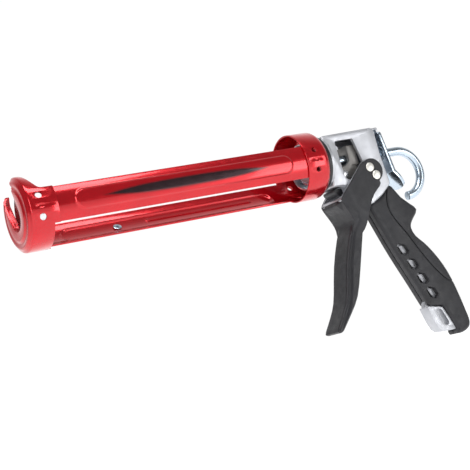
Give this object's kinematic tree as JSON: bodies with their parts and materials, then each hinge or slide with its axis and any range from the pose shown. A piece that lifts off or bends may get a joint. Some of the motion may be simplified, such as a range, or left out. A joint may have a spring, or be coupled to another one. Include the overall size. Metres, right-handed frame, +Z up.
{
  "type": "caulking gun",
  "caption": "Skeleton-barrel caulking gun with a swivelling open cradle, friction rod drive, squeeze trigger, thumb release and hooked push rod.",
  "frame": {"origin": "centre of the plunger's front face with the rod fully forward, on the axis shared by rod and barrel", "axes": "+X along the barrel towards the nozzle end, +Z up with the handle hanging towards -Z, +Y to the left of someone aiming along +X"},
  "size_m": [0.387, 0.058, 0.1998],
  "materials": {
    "red_paint": "glossy red enamel over pressed sheet",
    "die_cast": "bright satin die casting",
    "bright_zinc": "bluish bright zinc plating",
    "spring_steel": "bright drawn wire and turned steel",
    "sintered_steel": "dark grey sintered, dull",
    "rivet_steel": "off-white satin rivet heads",
    "brass": "plain turned",
    "black_plastic": "moulded, semi-matt",
    "soft_grip": "fine matt soft-touch moulding"
  },
  "bodies": {
    "frame": {"frame": "die_cast", "collar": "black_plastic", "swivel_retainer": "spring_steel", "swivel_nut": "bright_zinc", "rod_bush": "brass", "trigger_stop": "black_plastic", "grip_near": "soft_grip", "grip_far": "soft_grip", "back_strap": "soft_grip", "brake_spring": "spring_steel"},
    "barrel": {"nose_cap": "red_paint", "near_rail": "red_paint", "lower_rail": "red_paint", "rear_ring": "red_paint", "piercer_rivet": "bright_zinc"},
    "piercing_pin": {"piercing_pin": "bright_zinc"},
    "push_rod": {"rod": "bright_zinc", "rod_hook": "bright_zinc", "plunger": "spring_steel", "plunger_nut": "bright_zinc"},
    "trigger": {"trigger_core": "die_cast", "trigger_cover": "soft_grip", "trigger_pin": "rivet_steel", "drive_pin": "rivet_steel", "trigger_spring": "spring_steel"},
    "carriage": {"grip_block": "sintered_steel", "link_pin": "spring_steel"},
    "link": {"drive_link": "sintered_steel"},
    "release": {"release_plate": "bright_zinc"}
  },
  "joints": [
    {"name": "barrel_swivel", "type": "hinge", "parent": "frame", "child": "barrel", "pos_m": [-0.26, 0, 0], "axis": [1, 0, 0], "continuous": true},
    {"name": "rod_slide", "type": "slide", "parent": "frame", "child": "push_rod", "axis": [1, 0, 0], "range_m": [-0.218, 0]},
    {"name": "trigger_squeeze", "type": "hinge", "parent": "frame", "child": "trigger", "pos_m": [-0.3129, 0, -0.0202], "axis": [0, 1, 0], "range_deg": [0, 24], "stiffness_Nm_per_rad": 0.4, "springref_deg": -34.38},
    {"name": "carriage_feed", "type": "slide", "parent": "frame", "child": "carriage", "axis": [1, 0, 0], "range_m": [0, 0.0028]},
    {"name": "link_turn", "type": "hinge", "parent": "carriage", "child": "link", "pos_m": [-0.2875, 0, -0.0135], "axis": [0, 1, 0], "range_deg": [-7.2, 0]},
    {"name": "release_lever", "type": "hinge", "parent": "frame", "child": "release", "pos_m": [-0.3305, 0, 0.02], "axis": [0, -1, 0], "range_deg": [0, 4], "stiffness_Nm_per_rad": 0.3, "springref_deg": -22.92},
    {"name": "piercing_pin_swing", "type": "hinge", "parent": "barrel", "child": "piercing_pin", "pos_m": [-0.08, -0.02142, -0.02142], "axis": [0, -0.7071, -0.7071], "range_deg": [0, 180]}
  ],
  "couplings": [
    {"joint": "carriage_feed", "follows": "trigger_squeeze", "m_per_rad": 0.0063},
    {"joint": "link_turn", "follows": "trigger_squeeze", "ratio": -0.291}
  ]
}
